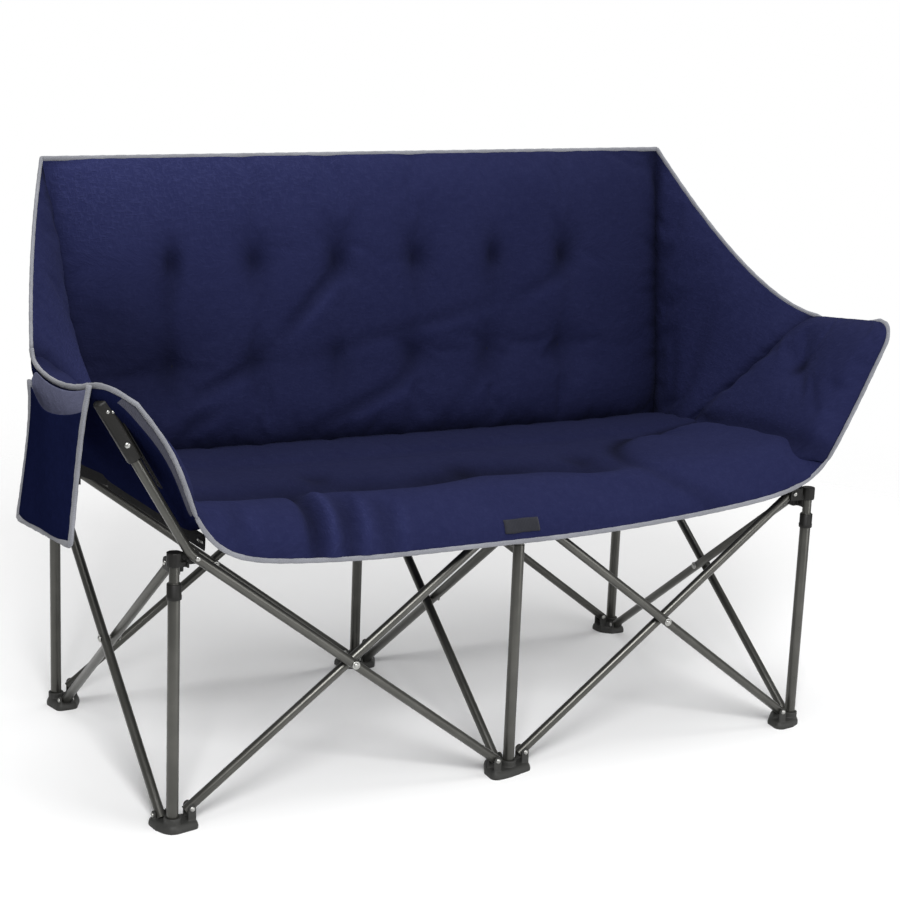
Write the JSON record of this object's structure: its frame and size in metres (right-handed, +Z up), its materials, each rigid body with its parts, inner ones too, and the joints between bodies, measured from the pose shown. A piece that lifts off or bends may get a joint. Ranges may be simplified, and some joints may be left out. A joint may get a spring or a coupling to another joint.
{
  "type": "folding camping loveseat",
  "caption": "Wide folding camp chair: telescoping post frame with crossed brace tubes carrying a padded tufted bucket seat, raised arms and a hanging side pocket.",
  "frame": {"origin": "middle of the footprint, on the floor under the six feet", "axes": "+X across the seat from the pocket's arm to the other arm, +Y from front to back, +Z up"},
  "size_m": [1.4362, 0.6352, 0.943],
  "materials": {
    "tube_paint": "gunmetal powder coat, satin",
    "foot_plastic": "moulded charcoal plastic, fine grain",
    "hub_plastic": "moulded black plastic, satin",
    "rivet_steel": "plated steel rivet",
    "cover_fabric": "navy woven polyester, padded and tufted, grey piping",
    "pocket_fabric": "navy woven polyester, unpadded, grey binding"
  },
  "bodies": {
    "front_mid_foot": {"foot_front_mid": "foot_plastic", "post_front_mid": "tube_paint"},
    "front_left_arm": {"front_left_arm_brace": "tube_paint", "rivet_front_left": "rivet_steel", "arm_sleeve_left": "hub_plastic", "arm_panel_left": "cover_fabric"},
    "front_left_cross": {"front_left_brace": "tube_paint"},
    "front_right_arm": {"front_right_arm_brace": "tube_paint", "rivet_front_right": "rivet_steel", "arm_sleeve_right": "hub_plastic", "arm_panel_right": "cover_fabric"},
    "front_right_cross": {"front_right_brace": "tube_paint"},
    "side_left_outer": {"side_left_outer_brace": "tube_paint", "rivet_side_left": "rivet_steel"},
    "side_left_inner": {"side_left_inner_brace": "tube_paint"},
    "side_right_outer": {"side_right_outer_brace": "tube_paint", "rivet_side_right": "rivet_steel"},
    "side_right_inner": {"side_right_inner_brace": "tube_paint"},
    "rear_left_back": {"rear_left_back_brace": "tube_paint", "rivet_rear_left": "rivet_steel"},
    "rear_left_front": {"rear_left_front_brace": "tube_paint"},
    "rear_right_front": {"rear_right_front_brace": "tube_paint"},
    "rear_right_back": {"rear_right_back_brace": "tube_paint", "rivet_rear_right": "rivet_steel"},
    "middle_left": {"middle_left_brace": "tube_paint", "rivet_middle": "rivet_steel"},
    "middle_right": {"middle_right_brace": "tube_paint"},
    "front_left_hub": {"hub_front_left": "hub_plastic", "inner_tube_front_left": "tube_paint"},
    "rear_left_slider": {"slider_rear_left": "hub_plastic"},
    "rear_left_foot": {"foot_rear_left": "foot_plastic", "post_rear_left": "tube_paint", "plug_rear_left": "hub_plastic"},
    "front_left_foot": {"foot_front_left": "foot_plastic", "post_front_left": "tube_paint", "collar_front_left": "hub_plastic"},
    "front_mid_hub": {"hub_front_mid": "hub_plastic", "inner_tube_front_mid": "tube_paint"},
    "rear_mid_slider": {"slider_rear_mid": "hub_plastic"},
    "rear_mid_foot": {"foot_rear_mid": "foot_plastic", "post_rear_mid": "tube_paint", "plug_rear_mid": "hub_plastic", "back_panel": "cover_fabric"},
    "front_right_hub": {"hub_front_right": "hub_plastic", "inner_tube_front_right": "tube_paint"},
    "rear_right_slider": {"slider_rear_right": "hub_plastic"},
    "rear_right_foot": {"foot_rear_right": "foot_plastic", "post_rear_right": "tube_paint", "plug_rear_right": "hub_plastic"},
    "front_right_foot": {"foot_front_right": "foot_plastic", "post_front_right": "tube_paint", "collar_front_right": "hub_plastic"},
    "seat_front": {"seat_front": "cover_fabric"},
    "seat_rear": {"seat_rear": "cover_fabric"},
    "wing_left": {"wing_left": "cover_fabric"},
    "wing_right": {"wing_right": "cover_fabric"},
    "pocket": {"side_pocket": "pocket_fabric"}
  },
  "joints": [
    {"name": "fold", "type": "hinge", "parent": "front_mid_foot", "child": "front_left_arm", "pos_m": [-0.03, -0.28025, 0.03], "axis": [0, 1, 0], "range_deg": [0, 43.5], "deforming": ["back_panel", "wing_left", "wing_right", "arm_panel_left", "arm_panel_right", "seat_front", "seat_rear", "side_pocket"]},
    {"name": "front_left_cross_scissor", "type": "hinge", "parent": "front_left_arm", "child": "front_left_cross", "pos_m": [-0.285, -0.28025, 0.223], "axis": [0, -1, 0], "range_deg": [0, 87]},
    {"name": "front_left_hub_level", "type": "hinge", "parent": "front_left_arm", "child": "front_left_hub", "pos_m": [-0.54, -0.28025, 0.416], "axis": [0, -1, 0], "range_deg": [0, 43.5]},
    {"name": "front_left_foot_level", "type": "hinge", "parent": "front_left_cross", "child": "front_left_foot", "pos_m": [-0.54, -0.26425, 0.03], "axis": [0, 1, 0], "range_deg": [0, 43.5]},
    {"name": "front_mid_hub_level", "type": "hinge", "parent": "front_left_cross", "child": "front_mid_hub", "pos_m": [-0.03, -0.26425, 0.416], "axis": [0, 1, 0], "range_deg": [0, 43.5]},
    {"name": "front_right_arm_turn", "type": "hinge", "parent": "front_mid_foot", "child": "front_right_arm", "pos_m": [0.03, -0.26425, 0.03], "axis": [0, -1, 0], "range_deg": [0, 43.5]},
    {"name": "front_right_cross_scissor", "type": "hinge", "parent": "front_right_arm", "child": "front_right_cross", "pos_m": [0.285, -0.26425, 0.223], "axis": [0, 1, 0], "range_deg": [0, 87]},
    {"name": "front_right_hub_level", "type": "hinge", "parent": "front_right_arm", "child": "front_right_hub", "pos_m": [0.54, -0.26425, 0.416], "axis": [0, 1, 0], "range_deg": [0, 43.5]},
    {"name": "front_right_foot_level", "type": "hinge", "parent": "front_right_cross", "child": "front_right_foot", "pos_m": [0.54, -0.28025, 0.03], "axis": [0, -1, 0], "range_deg": [0, 43.5]},
    {"name": "side_left_outer_turn", "type": "hinge", "parent": "front_left_foot", "child": "side_left_outer", "pos_m": [-0.578, -0.24225, 0.016], "axis": [1, 0, 0], "range_deg": [0, 43.5]},
    {"name": "side_left_inner_scissor", "type": "hinge", "parent": "side_left_outer", "child": "side_left_inner", "pos_m": [-0.578, 0.01275, 0.209], "axis": [-1, 0, 0], "range_deg": [0, 87]},
    {"name": "rear_left_slider_level", "type": "hinge", "parent": "side_left_outer", "child": "rear_left_slider", "pos_m": [-0.578, 0.26775, 0.402], "axis": [-1, 0, 0], "range_deg": [0, 43.5]},
    {"name": "rear_left_foot_level", "type": "hinge", "parent": "side_left_inner", "child": "rear_left_foot", "pos_m": [-0.562, 0.26775, 0.016], "axis": [1, 0, 0], "range_deg": [0, 43.5]},
    {"name": "side_right_outer_turn", "type": "hinge", "parent": "front_right_foot", "child": "side_right_outer", "pos_m": [0.578, -0.24225, 0.016], "axis": [1, 0, 0], "range_deg": [0, 43.5]},
    {"name": "side_right_inner_scissor", "type": "hinge", "parent": "side_right_outer", "child": "side_right_inner", "pos_m": [0.578, 0.01275, 0.209], "axis": [-1, 0, 0], "range_deg": [0, 87]},
    {"name": "rear_right_slider_level", "type": "hinge", "parent": "side_right_outer", "child": "rear_right_slider", "pos_m": [0.578, 0.26775, 0.402], "axis": [-1, 0, 0], "range_deg": [0, 43.5]},
    {"name": "rear_right_foot_level", "type": "hinge", "parent": "side_right_inner", "child": "rear_right_foot", "pos_m": [0.562, 0.26775, 0.016], "axis": [1, 0, 0], "range_deg": [0, 43.5]},
    {"name": "rear_left_back_turn", "type": "hinge", "parent": "rear_left_foot", "child": "rear_left_back", "pos_m": [-0.54, 0.30575, 0.03], "axis": [0, -1, 0], "range_deg": [0, 43.5]},
    {"name": "rear_left_front_scissor", "type": "hinge", "parent": "rear_left_back", "child": "rear_left_front", "pos_m": [-0.285, 0.30575, 0.223], "axis": [0, 1, 0], "range_deg": [0, 87]},
    {"name": "rear_right_front_turn", "type": "hinge", "parent": "rear_right_foot", "child": "rear_right_front", "pos_m": [0.54, 0.28975, 0.03], "axis": [0, 1, 0], "range_deg": [0, 43.5]},
    {"name": "rear_right_back_scissor", "type": "hinge", "parent": "rear_right_front", "child": "rear_right_back", "pos_m": [0.285, 0.28975, 0.223], "axis": [0, -1, 0], "range_deg": [0, 87]},
    {"name": "middle_left_turn", "type": "hinge", "parent": "front_mid_foot", "child": "middle_left", "pos_m": [-0.008, -0.24225, 0.016], "axis": [1, 0, 0], "range_deg": [0, 43.5]},
    {"name": "middle_right_scissor", "type": "hinge", "parent": "middle_left", "child": "middle_right", "pos_m": [-0.008, 0.01275, 0.209], "axis": [-1, 0, 0], "range_deg": [0, 87]},
    {"name": "rear_mid_slider_level", "type": "hinge", "parent": "middle_left", "child": "rear_mid_slider", "pos_m": [-0.008, 0.26775, 0.402], "axis": [-1, 0, 0], "range_deg": [0, 43.5]},
    {"name": "rear_mid_foot_level", "type": "hinge", "parent": "middle_right", "child": "rear_mid_foot", "pos_m": [0.008, 0.26775, 0.016], "axis": [1, 0, 0], "range_deg": [0, 43.5]},
    {"name": "seat_front_fold", "type": "hinge", "parent": "front_mid_hub", "child": "seat_front", "pos_m": [0, -0.30725, 0.4], "axis": [1, 0, 0], "range_deg": [0, 58.42]},
    {"name": "seat_rear_fold", "type": "hinge", "parent": "rear_mid_slider", "child": "seat_rear", "pos_m": [0, 0.27275, 0.428], "axis": [-1, 0, 0], "range_deg": [0, 83.17]},
    {"name": "wing_right_turn", "type": "hinge", "parent": "rear_right_foot", "child": "wing_right", "pos_m": [0.565, 0.19975, 0.456], "axis": [-0.0607, -0.1555, -0.986], "range_deg": [0, 64.81]},
    {"name": "wing_left_turn", "type": "hinge", "parent": "rear_left_foot", "child": "wing_left", "pos_m": [-0.565, 0.19975, 0.456], "axis": [-0.0607, 0.1555, 0.986], "range_deg": [0, 64.81]},
    {"name": "pocket_swing", "type": "hinge", "parent": "front_left_arm", "child": "pocket", "pos_m": [-0.7004, -0.15425, 0.655], "axis": [0, -1, 0], "range_deg": [0, 31.32]}
  ],
  "couplings": [
    {"joint": "front_left_cross_scissor", "follows": "fold", "ratio": 2},
    {"joint": "front_left_hub_level", "follows": "fold", "ratio": 1},
    {"joint": "front_left_foot_level", "follows": "fold", "ratio": 1},
    {"joint": "front_mid_hub_level", "follows": "fold", "ratio": 1},
    {"joint": "front_right_arm_turn", "follows": "fold", "ratio": 1},
    {"joint": "front_right_cross_scissor", "follows": "fold", "ratio": 2},
    {"joint": "front_right_hub_level", "follows": "fold", "ratio": 1},
    {"joint": "front_right_foot_level", "follows": "fold", "ratio": 1},
    {"joint": "side_left_outer_turn", "follows": "fold", "ratio": 1},
    {"joint": "side_left_inner_scissor", "follows": "fold", "ratio": 2},
    {"joint": "rear_left_slider_level", "follows": "fold", "ratio": 1},
    {"joint": "rear_left_foot_level", "follows": "fold", "ratio": 1},
    {"joint": "side_right_outer_turn", "follows": "fold", "ratio": 1},
    {"joint": "side_right_inner_scissor", "follows": "fold", "ratio": 2},
    {"joint": "rear_right_slider_level", "follows": "fold", "ratio": 1},
    {"joint": "rear_right_foot_level", "follows": "fold", "ratio": 1},
    {"joint": "rear_left_back_turn", "follows": "fold", "ratio": 1},
    {"joint": "rear_left_front_scissor", "follows": "fold", "ratio": 2},
    {"joint": "rear_right_front_turn", "follows": "fold", "ratio": 1},
    {"joint": "rear_right_back_scissor", "follows": "fold", "ratio": 2},
    {"joint": "middle_left_turn", "follows": "fold", "ratio": 1},
    {"joint": "middle_right_scissor", "follows": "fold", "ratio": 2},
    {"joint": "rear_mid_slider_level", "follows": "fold", "ratio": 1},
    {"joint": "rear_mid_foot_level", "follows": "fold", "ratio": 1},
    {"joint": "seat_front_fold", "follows": "fold", "ratio": 1.343},
    {"joint": "seat_rear_fold", "follows": "fold", "ratio": 1.912},
    {"joint": "wing_right_turn", "follows": "fold", "ratio": 1.49},
    {"joint": "wing_left_turn", "follows": "fold", "ratio": 1.49},
    {"joint": "pocket_swing", "follows": "fold", "ratio": 0.72}
  ]
}
